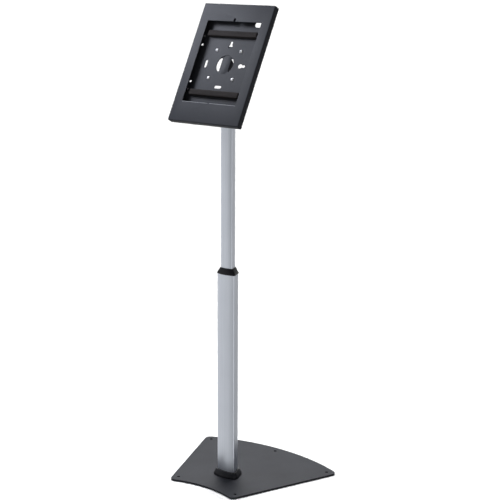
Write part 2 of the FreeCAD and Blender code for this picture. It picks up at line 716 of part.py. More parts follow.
def spider_plate():
    """Mounting plate with four lobes, waisted sides, a tongue on top and two cable windows."""
    half = PATTERN / 2 + SPIDER_LOBE
    y0 = TRAY_REAR_Y
    y1 = SPIDER_REAR_Y
    body = box(-half, half, y0, y1, PATTERN_Z - half, PATTERN_Z + half)
    body = fillet_where(body, SPIDER_LOBE, lambda b: corner_edge(b, SPIDER_THICKNESS))
    depth = half - SPIDER_WAIST
    radius = (depth * depth + SPIDER_WAIST_REACH * SPIDER_WAIST_REACH) / (2 * depth)
    cuts = [cable_window(-1), cable_window(1)]
    for i in range(4):
        angle = math.radians(90 * i)
        x = (SPIDER_WAIST + radius) * math.cos(angle)
        z = PATTERN_Z + (SPIDER_WAIST + radius) * math.sin(angle)
        cuts.append(rod(radius, V(x, y0, z), Y_AXIS, SPIDER_THICKNESS))
    for x, z in pattern_points():
        cuts.append(rod(PATTERN_HOLE / 2 + RUNNING, V(x, y0, z), Y_AXIS, SPIDER_THICKNESS))
    top = PATTERN_Z + TONGUE_REACH
    tongue = box(-STRAP_HALF, STRAP_HALF, y0, y1, PATTERN_Z + WINDOW_RADIUS, top)
    tongue = fillet_where(tongue, TONGUE_CORNER, lambda b: corner_edge(b, SPIDER_THICKNESS, top))
    return lean(union([body.cut(cuts), tongue]))


def pivot_bolt():
    """Bolt through the ears and the lug."""
    seat = V(EAR_OUTER + STEEL_WASHER, 0, 0)
    length = 2 * (EAR_OUTER + STEEL_WASHER) + PIVOT_NUT_HEIGHT + PIVOT_BOLT_END
    bolt = button_screw(PIVOT_BOLT_DIAMETER, PIVOT_HEAD_DIAMETER, PIVOT_HEAD_HEIGHT, length, seat, -X_AXIS)
    return lean(bolt)


def pivot_nut():
    """Locking nut on the left end of the pivot bolt."""
    start = V(-EAR_OUTER - STEEL_WASHER, 0, 0)
    nut = hexagon(PIVOT_NUT_ACROSS, start, -X_AXIS, PIVOT_NUT_HEIGHT)
    bore = rod(PIVOT_BOLT_DIAMETER / 2 + RUNNING, start, -X_AXIS, PIVOT_NUT_HEIGHT)
    return lean(nut.cut(bore))


def pivot_washers():
    """Steel washers under the bolt head and the nut."""
    bore = PIVOT_BOLT_DIAMETER / 2 + RUNNING
    washers = []
    for side in (-1, 1):
        start = V(side * EAR_OUTER, 0, 0)
        washers.append(ring(STEEL_WASHER_RADIUS, bore, start, V(side, 0, 0), STEEL_WASHER))
    return lean(group(washers))


def pan(half_width, half_height, front_y, rear_y, sheet, corner, bend, closed_front):
    """A shallow pressed box: rounded corners, one closed face with a bend radius, open opposite."""
    z0 = CASE_ABOVE_PIVOT - half_height
    z1 = CASE_ABOVE_PIVOT + half_height
    depth = rear_y - front_y
    closed_y = front_y if closed_front else rear_y
    outer = box(-half_width, half_width, front_y, rear_y, z0, z1)
    outer = fillet_where(outer, corner, lambda b: near(b.YLength, depth))
    outer = fillet_where(outer, bend, lambda b: near(b.YMin, closed_y) and near(b.YMax, closed_y))
    y0 = front_y + sheet if closed_front else front_y
    y1 = rear_y if closed_front else rear_y - sheet
    inner_face = y0 if closed_front else y1
    inner = box(-half_width + sheet, half_width - sheet, y0, y1, z0 + sheet, z1 - sheet)
    inner = fillet_where(inner, corner - sheet, lambda b: near(b.YLength, y1 - y0))

    def on_inner_face(b):
        return near(b.YMin, inner_face) and near(b.YMax, inner_face)

    inner = fillet_where(inner, bend - sheet, on_inner_face)
    return outer.cut(inner)


def slot_cut(x0, z0, x1, z1, width, y0, depth):
    """A round-ended slot through a plate that faces Y."""
    start = V(x0, y0, z0)
    end = V(x1, y0, z1)
    along = end - start
    across = V(-along.z, 0, along.x).normalize() * (width / 2)
    corners = [start + across, end + across, end - across, start - across, start + across]
    bar = Part.Face(Part.makePolygon(corners)).extrude(V(0, depth, 0))
    return union([bar, rod(width / 2, start, Y_AXIS, depth), rod(width / 2, end, Y_AXIS, depth)])


def tray_hole_cuts():
    """Every hole in the floor of the tray."""
    y0 = TRAY_FLOOR_Y - 1
    depth = CASE_SHEET + 2
    zc = PATTERN_Z
    half = CROSS_SLOT_LENGTH / 2 - CROSS_SLOT_WIDTH / 2
    cuts = [rod(CABLE_HOLE_DIAMETER / 2, V(0, y0, zc), Y_AXIS, depth)]
    for x, z in pattern_points():
        cuts.append(rod(TRAY_SCREW_HOLE / 2, V(x, y0, z), Y_AXIS, depth))
    end = KEYHOLE_SLOT_END - KEYHOLE_SLOT_WIDTH / 2
    row = zc - SIDE_ROW_DROP
    for dx, dz, middle in ((1, 0, row), (0, 1, zc)):
        centre = V(dx * KEYHOLE_DISTANCE, y0, middle + dz * KEYHOLE_DISTANCE)
        cuts.append(rod(KEYHOLE_DIAMETER / 2, centre, Y_AXIS, depth))
        cuts.append(slot_cut(centre.x, centre.z, dx * end, middle + dz * end,
                             KEYHOLE_SLOT_WIDTH, y0, depth))
    low = zc - CROSS_SLOT_DISTANCE
    cuts.append(slot_cut(-half, low, half, low, CROSS_SLOT_WIDTH, y0, depth))
    left = -SIDE_SLOT_DISTANCE
    cuts.append(slot_cut(left, row - half, left, row + half, CROSS_SLOT_WIDTH, y0, depth))
    lens_z = zc + LENS_SLOT_HEIGHT
    cuts.append(slot_cut(LENS_SLOT_INNER, lens_z, LENS_SLOT_OUTER, lens_z, LENS_SLOT_WIDTH, y0, depth))
    for x in (-RAIL_HOLE_X, RAIL_HOLE_X):
        for side in (-1, 1):
            z = zc + side * RAIL_HOLE_PITCH / 2
            cuts.append(rod(RAIL_HOLE_DIAMETER / 2, V(x, y0, z), Y_AXIS, depth))
    for x, z in rivet_points():
        cuts.append(rod(RIVET_DIAMETER / 2 + RUNNING, V(x, y0, z), Y_AXIS, depth))
    cuts.append(rod(BARREL_DIAMETER / 2 + RUNNING, V(LOCK_X, y0, LOCK_Z), Y_AXIS, depth))
    return cuts


def rear_tray():
    """Rear shell of the case with its walls, floor holes and keyholes."""
    front_y = FACE_Y + CASE_SHEET + FRONT_GAP
    body = pan(TRAY_HALF_WIDTH, TRAY_HALF_HEIGHT, front_y, TRAY_REAR_Y, CASE_SHEET,
               TRAY_CORNER, CASE_BEND, False)
    return lean(body.cut(tray_hole_cuts()))


def tray_screws():
    """Screws from inside the case, through the tray into the mounting plate."""
    screws = []
    for x, z in pattern_points():
        seat = V(x, TRAY_FLOOR_Y, z)
        screws.append(button_screw(PATTERN_HOLE, TRAY_SCREW_HEAD, TRAY_SCREW_HEAD_HEIGHT,
                                   TRAY_SCREW_LENGTH, seat, Y_AXIS))
    return lean(group(screws))


def foam_strip(above_case):
    """A closed-cell foam strip on the floor of the tray."""
    rear = TRAY_FLOOR_Y - FACE_SEAT
    middle = CASE_ABOVE_PIVOT + above_case
    strip = box(-FOAM_LENGTH / 2, FOAM_LENGTH / 2, rear - FOAM_THICKNESS, rear,
                middle - FOAM_WIDTH / 2, middle + FOAM_WIDTH / 2)
    front = rear - FOAM_THICKNESS
    strip = fillet_where(strip, FOAM_EDGE, lambda b: near(b.YMax, front) and near(b.XLength, FOAM_LENGTH))
    return lean(strip)


def hinge_spans(height):
    """Heights of the knuckles of one hinge: lower frame, tray and upper frame knuckle."""
    middle = CASE_ABOVE_PIVOT + height
    low = middle - HINGE_LENGTH / 2
    high = middle + HINGE_LENGTH / 2
    tray_low = middle - TRAY_KNUCKLE_LENGTH / 2
    tray_high = middle + TRAY_KNUCKLE_LENGTH / 2
    return (low, tray_low - CLEARANCE), (tray_low, tray_high), (tray_high + CLEARANCE, high)


def knuckle(z0, z1):
    """A rolled knuckle on the hinge axis, without its bore."""
    return rod(KNUCKLE_DIAMETER / 2, V(HINGE_X, HINGE_Y, z0), Z_AXIS, z1 - z0)


def knuckle_bore(z0, z1):
    return rod(HINGE_PIN_DIAMETER / 2 + RUNNING, V(HINGE_X, HINGE_Y, z0), Z_AXIS, z1 - z0)


def rivet_points():
    """Rivets of both hinge leaves, two to a leaf, in a row away from the hinge axis."""
    return [(HINGE_X + dx, CASE_ABOVE_PIVOT + height) for height in HINGE_HEIGHTS for dx in RIVET_OFFSETS]


def tray_hinge_leaves():
    """Leaves on the rear of the tray, each with a knuckle at its outer edge."""
    leaves = []
    for height in HINGE_HEIGHTS:
        z0, z1 = hinge_spans(height)[1]
        plate = box(HINGE_X, HINGE_X + LEAF_REACH, TRAY_REAR_Y, TRAY_REAR_Y + LEAF_SHEET, z0, z1)
        leaf = union([plate, knuckle(z0, z1)]).cut(knuckle_bore(z0, z1))
        for x, z in rivet_points():
            if z0 < z < z1:
                leaf = leaf.cut(rod(RIVET_DIAMETER / 2 + RUNNING, V(x, TRAY_REAR_Y, z), Y_AXIS, LEAF_SHEET))
        leaves.append(leaf)
    return lean(group(leaves))


def hinge_rivets():
    """Domed rivets through the tray floor and the leaves."""
    rivets = []
    reach = CASE_SHEET + LEAF_SHEET
    radius = RIVET_DIAMETER / 2
    head = RIVET_HEAD_DIAMETER / 2
    for x, z in rivet_points():
        start = V(x, TRAY_FLOOR_Y, z)
        shank = rod(radius, start, Y_AXIS, reach)
        front = Part.makeCone(head, radius, RIVET_HEAD_HEIGHT, start, -Y_AXIS)
        end = V(x, TRAY_FLOOR_Y + reach, z)
        rear = Part.makeCone(head, radius, RIVET_HEAD_HEIGHT, end, Y_AXIS)
        rivets.append(union([shank, front, rear]))
    return lean(group(rivets))


def hinge_pins():
    """Pins through the knuckles."""
    pins = []
    for height in HINGE_HEIGHTS:
        spans = hinge_spans(height)
        start = V(HINGE_X, HINGE_Y, spans[0][0])
        pins.append(rod(HINGE_PIN_DIAMETER / 2, start, Z_AXIS, spans[2][1] - spans[0][0]))
    return lean(group(pins))


def front_frame():
    """Front cover: face with the screen opening, four skirts and the hinge knuckles."""
    half_width = CASE_WIDTH / 2
    skirt_rear = FACE_Y + SKIRT_DEPTH
    body = pan(half_width, CASE_HEIGHT / 2, FACE_Y, skirt_rear, CASE_SHEET, CASE_CORNER, CASE_BEND, True)
    y0 = FACE_Y - 1
    y1 = FACE_Y + CASE_SHEET + 1
    low = PATTERN_Z - OPENING_HEIGHT / 2
    high = PATTERN_Z + OPENING_HEIGHT / 2
    opening = box(-OPENING_WIDTH / 2, OPENING_WIDTH / 2, y0, y1, low, high)
    opening = fillet_where(opening, OPENING_CORNER, lambda b: near(b.YLength, y1 - y0))
    lens = CAMERA_NOTCH_WIDTH / 2
    button = BUTTON_NOTCH_WIDTH / 2
    upper_notch = box(-lens, lens, y0, y1, high - 1, high + CAMERA_NOTCH_HEIGHT)
    lower_notch = box(-button, button, y0, y1, low - BUTTON_NOTCH_HEIGHT, low + 1)
    body = body.cut([opening, upper_notch, lower_notch])

    def on_opening_front(b):
        inside = b.XMin > -OPENING_WIDTH / 2 - 1 and b.XMax < OPENING_WIDTH / 2 + 1
        return inside and near(b.YMin, FACE_Y) and near(b.YMax, FACE_Y)

    body = fillet_where(body, OPENING_EDGE, on_opening_front)
    for height in HINGE_HEIGHTS:
        spans = hinge_spans(height)
        for z0, z1 in (spans[0], spans[2]):
            tab = box(-half_width, -half_width + CASE_SHEET, skirt_rear - 1, HINGE_Y, z0, z1)
            body = body.fuse(tab).fuse(knuckle(z0, z1))
            body = body.cut(knuckle_bore(z0, z1))
    return lean(body.removeSplitter())


def cam_face_y():
    """Rear face of the cam, on the inner end of the lock plug."""
    return TRAY_FLOOR_Y - BARREL_LENGTH


def keeper():
    """Hooked strap on the back of the face that the cam turns behind."""
    face = FACE_Y + CASE_SHEET
    stem_top = LOCK_Z - CAM_REACH - KEEPER_GAP
    stem_bottom = stem_top - KEEPER_SHEET
    lip_front = cam_face_y() + KEEPER_GAP
    lip_rear = lip_front + KEEPER_SHEET
    x0 = LOCK_X - KEEPER_WIDTH / 2
    x1 = LOCK_X + KEEPER_WIDTH / 2
    stem = box(x0, x1, face, lip_rear, stem_bottom, stem_top)
    lip = box(x0, x1, lip_front, lip_rear, stem_bottom, stem_top + KEEPER_LIP)
    return lean(union([stem, lip]))


def lock_barrel():
    """Fixed body of the cam lock, through the floor of the tray, with its rear flange."""
    start = V(LOCK_X, cam_face_y(), LOCK_Z)
    length = BARREL_LENGTH + CASE_SHEET
    barrel = rod(BARREL_DIAMETER / 2, start, Y_AXIS, length)
    flange = rod(BARREL_FLANGE_DIAMETER / 2, V(LOCK_X, TRAY_REAR_Y, LOCK_Z), Y_AXIS, BARREL_FLANGE)
    bore = rod(PLUG_DIAMETER / 2 + RUNNING, start, Y_AXIS, length + BARREL_FLANGE)
    return lean(union([barrel, flange]).cut(bore))


def lock_nut():
    """Thin hexagon nut that clamps the barrel to the tray floor."""
    start = V(LOCK_X, TRAY_FLOOR_Y, LOCK_Z)
    nut = hexagon(BARREL_NUT_ACROSS, start, -Y_AXIS, BARREL_NUT)
    return lean(nut.cut(rod(BARREL_DIAMETER / 2 + RUNNING, start, -Y_AXIS, BARREL_NUT)))


def lock_plug():
    """Turning core of the lock with its key slot."""
    start = V(LOCK_X, cam_face_y(), LOCK_Z)
    length = BARREL_LENGTH + CASE_SHEET + BARREL_FLANGE
    plug = rod(PLUG_DIAMETER / 2, start, Y_AXIS, length)
    end = start.y + length
    half_width = KEY_SLOT_WIDTH / 2
    half_height = KEY_SLOT_HEIGHT / 2
    key_slot = box(LOCK_X - half_width, LOCK_X + half_width, end - KEY_SLOT_DEPTH, end,
                   LOCK_Z - half_height, LOCK_Z + half_height)
    screw_hole = rod(CAM_SCREW_DIAMETER / 2 + RUNNING, start, Y_AXIS, CAM_SCREW_BITE + CLEARANCE)
    return lean(plug.cut([key_slot, screw_hole]))


def lock_cam():
    """Flat cam, drawn unlocked: it points along the lower margin of the case."""
    y0 = cam_face_y() - CAM_THICKNESS
    tip = LOCK_X - CAM_REACH + CAM_WIDTH / 2
    cam = slot_cut(LOCK_X, LOCK_Z, tip, LOCK_Z, CAM_WIDTH, y0, CAM_THICKNESS)
    hole = rod(CAM_SCREW_DIAMETER / 2 + RUNNING, V(LOCK_X, y0, LOCK_Z), Y_AXIS, CAM_THICKNESS)
    return lean(cam.cut(hole))


def cam_screw():
    """Screw that holds the cam on the plug."""
    seat = V(LOCK_X, cam_face_y() - CAM_THICKNESS, LOCK_Z)
    length = CAM_THICKNESS + CAM_SCREW_BITE
    screw = button_screw(CAM_SCREW_DIAMETER, CAM_SCREW_HEAD, CAM_SCREW_HEAD_HEIGHT, length, seat, Y_AXIS)
    return lean(screw)


NODES = {
    "base_plate": base_plate,
    "floor_pads": floor_pads,
    "post_bolts": post_bolts,
    "lower_post": lower_post,
    "foot_trim": foot_trim,
    "collar": collar,
    "guide_bush": guide_bush,
    "lock_insert": lock_insert,
    "lock_shoe": lock_shoe,
    "height_lock_screw": lock_screw,
    "upper_post": upper_post,
    "glide_block": glide_block,
    "glide_screws": glide_screws,
    "post_head": post_head,
    "head_screws": head_screws,
    "friction_washers": friction_washers,
    "tilt_bracket": tilt_bracket,
    "mounting_plate": spider_plate,
    "pivot_bolt": pivot_bolt,
    "pivot_nut": pivot_nut,
    "pivot_washers": pivot_washers,
    "rear_tray": rear_tray,
    "tray_screws": tray_screws,
    "upper_foam_strip": lambda: foam_strip(FOAM_TOP),
    "lower_foam_strip": lambda: foam_strip(FOAM_BOTTOM),
    "tray_hinge_leaves": tray_hinge_leaves,
    "hinge_rivets": hinge_rivets,
    "hinge_pins": hinge_pins,
    "front_frame": front_frame,
    "lock_keeper": keeper,
    "lock_barrel": lock_barrel,
    "lock_nut": lock_nut,
    "lock_plug": lock_plug,
    "lock_cam": lock_cam,
    "cam_screw": cam_screw,
}


def main():
    os.makedirs("parts", exist_ok=True)
    for name, make in NODES.items():
        shape = make()
        volume = sum(solid.Volume for solid in shape.Solids)
        print(f"{name}: {len(shape.Solids)} solids, {volume / 1000:.2f} cm3, valid {shape.isValid()}")
        shape.exportStep(f"parts/{name}.step")


main()
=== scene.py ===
"""Finishes, foam strips, light and camera for a height-adjustable tablet stand."""

import json
import logging
import math
from dataclasses import dataclass
from enum import Enum
from typing import Any, Iterable, Mapping, Sequence

import bmesh
import bpy
from mathutils import Matrix, Vector

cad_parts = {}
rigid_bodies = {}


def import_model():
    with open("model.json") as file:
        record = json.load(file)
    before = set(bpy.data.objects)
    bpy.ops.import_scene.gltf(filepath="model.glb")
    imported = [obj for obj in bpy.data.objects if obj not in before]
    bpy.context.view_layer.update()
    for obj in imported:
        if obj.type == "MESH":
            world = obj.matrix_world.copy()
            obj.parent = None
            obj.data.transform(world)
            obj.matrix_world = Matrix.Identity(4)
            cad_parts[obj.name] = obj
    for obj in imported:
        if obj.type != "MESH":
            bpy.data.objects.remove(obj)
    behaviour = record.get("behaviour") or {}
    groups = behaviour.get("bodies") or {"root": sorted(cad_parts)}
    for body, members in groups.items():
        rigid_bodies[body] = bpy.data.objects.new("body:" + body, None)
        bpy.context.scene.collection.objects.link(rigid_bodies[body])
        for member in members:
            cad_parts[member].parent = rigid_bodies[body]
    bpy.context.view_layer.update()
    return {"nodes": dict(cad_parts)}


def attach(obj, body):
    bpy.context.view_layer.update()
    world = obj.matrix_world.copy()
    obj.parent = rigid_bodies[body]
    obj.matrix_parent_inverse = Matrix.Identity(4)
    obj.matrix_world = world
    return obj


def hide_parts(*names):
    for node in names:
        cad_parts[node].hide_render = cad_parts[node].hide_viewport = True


LOG = logging.getLogger("tablet_stand")
MM = 0.001
NOISE_MIDDLE = 0.5
Colour = tuple[float, float, float]
Point = tuple[float, float, float]
WHITE: Colour = (1.0, 1.0, 1.0)
BLACK: Colour = (0.0, 0.0, 0.0)
UNSTRETCHED: Sequence[float] = (1.0, 1.0, 1.0)


class Body(Enum):
    """The body that the new pieces ride on."""

    HEAD = "head"


class Edge(Enum):
    """How the edges of a carried-over node are finished: bevel width in metres, or none."""

    SHARP = 0.0
    FINE = 0.15 * MM
    SOFT = 0.35 * MM


class Field:
    """A value that varies over a surface: one output socket, with arithmetic on it."""

    def __init__(self, graph: "Graph", socket: bpy.types.NodeSocket | None) -> None:
        """Wrap an output socket of a graph, or none for a node that ends its tree."""
        self.graph = graph
        self.socket = socket

    def maths(self, operation: str, *values: "Field | float") -> "Field":
        """Add one Math node, with this field among its inputs, and return its result."""
        return self.graph.node("ShaderNodeMath", {"operation": operation}, dict(enumerate(values)))

    def __add__(self, other: "Field | float") -> "Field":
        """Sum."""
        return self.maths("ADD", self, other)

    __radd__ = __add__

    def __sub__(self, other: "Field | float") -> "Field":
        """Difference."""
        return self.maths("SUBTRACT", self, other)

    def __rsub__(self, other: "Field | float") -> "Field":
        """Difference, reflected."""
        return self.maths("SUBTRACT", other, self)

    def __mul__(self, other: "Field | float") -> "Field":
        """Product."""
        return self.maths("MULTIPLY", self, other)

    __rmul__ = __mul__

    def magnitude(self) -> "Field":
        """The value without its sign."""
        return self.maths("ABSOLUTE", self)

    def step(self, low: float, high: float) -> "Field":
        """Ease from 0 at the low value to 1 at the high one."""
        inputs = {"Value": self, "From Min": low, "From Max": high}
        return self.graph.node("ShaderNodeMapRange", {"interpolation_type": "SMOOTHSTEP"}, inputs)


class Graph:
    """The node tree of one material or world."""

    mix_share = 0
    mix_first = 6
    mix_second = 7
    mix_result = 2

    def __init__(self, owner: bpy.types.Material | bpy.types.World) -> None:
        """Start with an empty tree.

        Args:
            owner: the material or world.
        """
        owner.use_nodes = True
        self.tree = owner.node_tree
        self.tree.nodes.clear()

    def node(self, kind: str, settings: Mapping[str, Any] | None = None,
             inputs: Mapping[str | int, Any] | None = None, output: str | int = 0) -> Field:
        """Add one node.

        Args:
            kind: the node's type.
            settings: its properties, set before its sockets.
            inputs: socket names or places, with values or fields.
            output: the output socket that the result wraps.

        Returns:
            The chosen output as a field.
        """
        made = self.tree.nodes.new(kind)
        for name, value in (settings or {}).items():
            setattr(made, name, value)
        for name, value in (inputs or {}).items():
            socket = made.inputs[name]
            if isinstance(value, Field):
                self.tree.links.new(value.socket, socket)
            else:
                socket.default_value = value
        return Field(self, made.outputs[output] if made.outputs else None)

    def place(self, scale: Sequence[float] = UNSTRETCHED) -> Field:
        """Object coordinates, scaled along X, Y and Z."""
        coordinates = self.node("ShaderNodeTexCoord", output="Object")
        return self.node("ShaderNodeMapping", inputs={"Vector": coordinates, "Scale": scale})

    def part(self, vector: Field, axis: str) -> Field:
        """One component of a vector field, by its axis: X, Y or Z."""
        return self.node("ShaderNodeSeparateXYZ", inputs={"Vector": vector}, output=axis)

    def noise(self, per_metre: float, detail: float = 2.0,
              stretch: Sequence[float] = UNSTRETCHED) -> Field:
        """Fractal noise between about 0.2 and 0.8, by cells to a metre and octaves."""
        inputs = {"Vector": self.place(stretch), "Scale": per_metre, "Detail": detail}
        return self.node("ShaderNodeTexNoise", inputs=inputs)

    def cells(self, per_metre: float) -> Field:
        """Distance to the nearest cell point, by cells to a metre."""
        inputs = {"Vector": self.place(), "Scale": per_metre}
        return self.node("ShaderNodeTexVoronoi", inputs=inputs)

    def tint(self, first: Colour | Field, second: Colour, share: Field) -> Field:
        """Mix two colours.

        Args:
            first: colour, or field of colour, where the share is 0.
            second: colour where the share is 1.
            share: the mask.

        Returns:
            The colour field.
        """
        settings = {"data_type": "RGBA", "clamp_factor": True}
        start = first if isinstance(first, Field) else (*first, 1.0)
        inputs = {self.mix_share: share, self.mix_first: start, self.mix_second: (*second, 1.0)}
        return self.node("ShaderNodeMix", settings, inputs, output=self.mix_result)

    def bump(self, height: Field, depth: float) -> Field:
        """Turn a height into a normal; a height of 1 is so many metres deep."""
        inputs = {"Strength": 1.0, "Distance": depth, "Height": height}
        return self.node("ShaderNodeBump", inputs=inputs)

    def surface(self, inputs: Mapping[str, Any]) -> None:
        """Finish the material with one Principled shader."""
        shader = self.node("ShaderNodeBsdfPrincipled", inputs=inputs)
        self.node("ShaderNodeOutputMaterial", inputs={"Surface": shader})


@dataclass(frozen=True)
class CaseFrame:
    """Where the leaning case stands: the tilt pivot's height and the angle, as in the part."""

    pivot_height: float = 1068.3 * MM
    tilt: float = math.radians(28.2)

    def matrix(self) -> Matrix:
        """The move from the upright case, with the pivot at its origin, to its place."""
        lift = Matrix.Translation(Vector((0.0, 0.0, self.pivot_height)))
        return lift @ Matrix.Rotation(-self.tilt, 4, "X")


@dataclass(frozen=True)
class Finish:
    """A finish: its name, the record's slot that it belongs to, colours and roughness."""

    name: str
    slot: str
    colour: Colour
    shade: Colour
    roughness: float

    def sockets(self, graph: Graph) -> dict[str, Any]:
        """Sockets of the Principled shader; each kind of finish gives its own."""
        raise NotImplementedError

    def uneven(self, wave: Field, span: float) -> Field:
        """The roughness, varied about its own value by a share of a noise."""
        return self.roughness + (wave - NOISE_MIDDLE) * span

    def material(self) -> bpy.types.Material:
        """Build the material on the first call.

        Returns:
            The material, the same one on every call.
        """
        name = f"finish_{self.name}"
        found = bpy.data.materials.get(name)
        if found is None:
            found = bpy.data.materials.new(name)
            graph = Graph(found)
            graph.surface(self.sockets(graph))
        return found


@dataclass(frozen=True)
class PowderCoat(Finish):
    """Textured powder coat: fine orange peel with a few coarser swells."""

    grain_per_metre: float = 1400.0
    grain_depth: float = 0.015 * MM
    grain_share: float = 0.5
    swell_per_metre: float = 1400.0 / 6.0
    swell_depth: float = 0.03 * MM
    cloud_per_metre: float = 9.0
    cloud_share: float = 0.5
    cloud_roughness: float = 0.08
    colour_steps: tuple[float, float] = (0.35, 0.65)
    specular: float = 0.12

    def sockets(self, graph: Graph) -> dict[str, Any]:
        """Fine grain in the normal, and a little of it in colour and roughness.

        Args:
            graph: the material's tree.

        Returns:
            Sockets of the Principled shader.
        """
        grain = graph.noise(self.grain_per_metre, detail=3.0)
        swell = graph.noise(self.swell_per_metre, detail=1.0)
        cloud = graph.noise(self.cloud_per_metre)
        height = grain + swell * (self.swell_depth / self.grain_depth)
        share = cloud * self.cloud_share + grain * self.grain_share
        return {
            "Base Color": graph.tint(self.colour, self.shade, share.step(*self.colour_steps)),
            "Roughness": self.uneven(cloud, self.cloud_roughness),
            "Specular IOR Level": self.specular,
            "Normal": graph.bump(height, self.grain_depth),
        }


@dataclass(frozen=True)
class RimHighlightCoat(PowderCoat):
    """The same coat with a painted highlight: a pale band along the bottom edge of the case's
    opening.
    """

    # Painted highlight: its pale colour and the band across the case's height, in place of light
    # caught on the opening's rounded bottom edge.
    rim: Colour = (0.26, 0.27, 0.29)
    rim_bottom: float = -96.3 * MM
    rim_top: float = -95.0 * MM
    rim_fade: float = 0.2 * MM
    half_length: float = 83.0 * MM
    end_fade: float = 1.0 * MM
    highlight_breakup_per_metre: float = 300.0
    highlight_breakup_steps: tuple[float, float] = (0.2, 0.6)
    highlight_breakup_share: float = 0.4

    def sockets(self, graph: Graph) -> dict[str, Any]:
        """Add the painted highlight to the coat's colour, in the leaning case's own axes.

        Args:
            graph: the material's tree.

        Returns:
            Sockets of the Principled shader.
        """
        upright = CaseFrame().matrix().inverted()
        turn = {"Vector": graph.place(), "Location": upright.to_translation(),
                "Rotation": upright.to_euler()}
        case = graph.node("ShaderNodeMapping", inputs=turn)
        height = graph.part(case, "Z")
        above_bottom = height.step(self.rim_bottom, self.rim_bottom + self.rim_fade)
        above_top = height.step(self.rim_top, self.rim_top + self.rim_fade)
        across = graph.part(case, "X").magnitude()
        past_end = across.step(self.half_length, self.half_length + self.end_fade)
        # Noise breaks the painted highlight into uneven stretches along the edge.
        highlight_breakup = graph.noise(self.highlight_breakup_per_metre).step(*self.highlight_breakup_steps)
        strength = highlight_breakup * self.highlight_breakup_share + (1.0 - self.highlight_breakup_share)
        share = above_bottom * (1.0 - above_top) * (1.0 - past_end) * strength
        inputs = super().sockets(graph)
        inputs["Base Color"] = graph.tint(inputs["Base Color"], self.rim, share)
        return inputs


@dataclass(frozen=True)
class Anodised(Finish):
    """Satin anodised extrusion with fine drawing lines along the post."""

    metallic: float = 0.8
    lines_per_metre: float = 2600.0
    lines_stretch: float = 0.004
    lines_share: float = 0.4
    lines_roughness: float = 0.10
    line_depth: float = 0.004 * MM
    bands_per_metre: float = 160.0
    bands_stretch: float = 0.01
    bands_share: float = 0.3
    cloud_per_metre: float = 12.0
    cloud_share: float = 0.3
    cloud_roughness: float = 0.05
    colour_steps: tuple[float, float] = (0.35, 0.65)

    def sockets(self, graph: Graph) -> dict[str, Any]:
        """Lines that run along Z, in roughness, colour and normal.

        Args:
            graph: the material's tree.

        Returns:
            Sockets of the Principled shader.
        """
        lines = graph.noise(self.lines_per_metre, stretch=(1.0, 1.0, self.lines_stretch))
        bands = graph.noise(self.bands_per_metre, detail=1.0,
                            stretch=(1.0, 1.0, self.bands_stretch))
        cloud = graph.noise(self.cloud_per_metre, detail=3.0)
        share = lines * self.lines_share + bands * self.bands_share + cloud * self.cloud_share
        roughness = self.uneven(lines, self.lines_roughness)
        return {
            "Base Color": graph.tint(self.colour, self.shade, share.step(*self.colour_steps)),
            "Metallic": self.metallic,
            "Roughness": roughness + (cloud - NOISE_MIDDLE) * self.cloud_roughness,
            "Normal": graph.bump(lines, self.line_depth),
        }


@dataclass(frozen=True)
class Moulded(Finish):
    """Moulded plastic with a fine spark-eroded texture."""

    texture_per_metre: float = 2200.0
    texture_depth: float = 0.02 * MM
    cloud_per_metre: float = 60.0
    cloud_roughness: float = 0.12
    colour_steps: tuple[float, float] = (0.35, 0.65)
    specular: float = 0.3

    def sockets(self, graph: Graph) -> dict[str, Any]:
        """Cells in the normal, and slow change in colour and roughness.

        Args:
            graph: the material's tree.

        Returns:
            Sockets of the Principled shader.
        """
        texture = graph.cells(self.texture_per_metre)
        cloud = graph.noise(self.cloud_per_metre)
        return {
            "Base Color": graph.tint(self.colour, self.shade, cloud.step(*self.colour_steps)),
            "Roughness": self.uneven(cloud, self.cloud_roughness),
            "Specular IOR Level": self.specular,
            "Normal": graph.bump(texture, self.texture_depth),
        }


@dataclass(frozen=True)
class BareMetal(Finish):
    """Plated, cast or oxidised metal of the small parts."""

    metallic: float = 1.0
    grain_per_metre: float = 900.0
    grain_depth: float = 0.01 * MM
    marks_per_metre: float = 120.0
    marks_roughness: float = 0.2
    colour_steps: tuple[float, float] = (0.35, 0.7)

    def sockets(self, graph: Graph) -> dict[str, Any]:
        """Handling marks in colour and roughness, and a faint grain in the normal.

        Args:
            graph: the material's tree.

        Returns:
            Sockets of the Principled shader.
        """
        grain = graph.noise(self.grain_per_metre, detail=3.0)
        marks = graph.noise(self.marks_per_metre, detail=4.0)
        return {
            "Base Color": graph.tint(self.colour, self.shade, marks.step(*self.colour_steps)),
            "Metallic": self.metallic,
            "Roughness": self.uneven(marks, self.marks_roughness),
            "Normal": graph.bump(grain, self.grain_depth),
        }


@dataclass(frozen=True)
class CellFoam(Finish):
    """Closed-cell foam: small pores and faint skiving streaks along the strip."""

    pores_per_metre: float = 900.0
    pore_depth: float = 0.25 * MM
    pores_share: float = 0.5
    streaks_per_metre: float = 420.0
    streaks_stretch: float = 0.05
    streaks_share: float = 0.5
    streak_height: float = 0.6
    colour_steps: tuple[float, float] = (0.25, 0.6)
    specular: float = 0.2

    def sockets(self, graph: Graph) -> dict[str, Any]:
        """Pores in the normal and colour, with streaks along X.

        Args:
            graph: the material's tree.

        Returns:
            Sockets of the Principled shader.
        """
        pores = graph.cells(self.pores_per_metre)
        streaks = graph.noise(self.streaks_per_metre, stretch=(self.streaks_stretch, 1.0, 1.0))
        share = pores * self.pores_share + streaks * self.streaks_share
        return {
            "Base Color": graph.tint(self.shade, self.colour, share.step(*self.colour_steps)),
            "Roughness": self.roughness,
            "Specular IOR Level": self.specular,
            "Normal": graph.bump(pores + streaks * self.streak_height, self.pore_depth),
        }


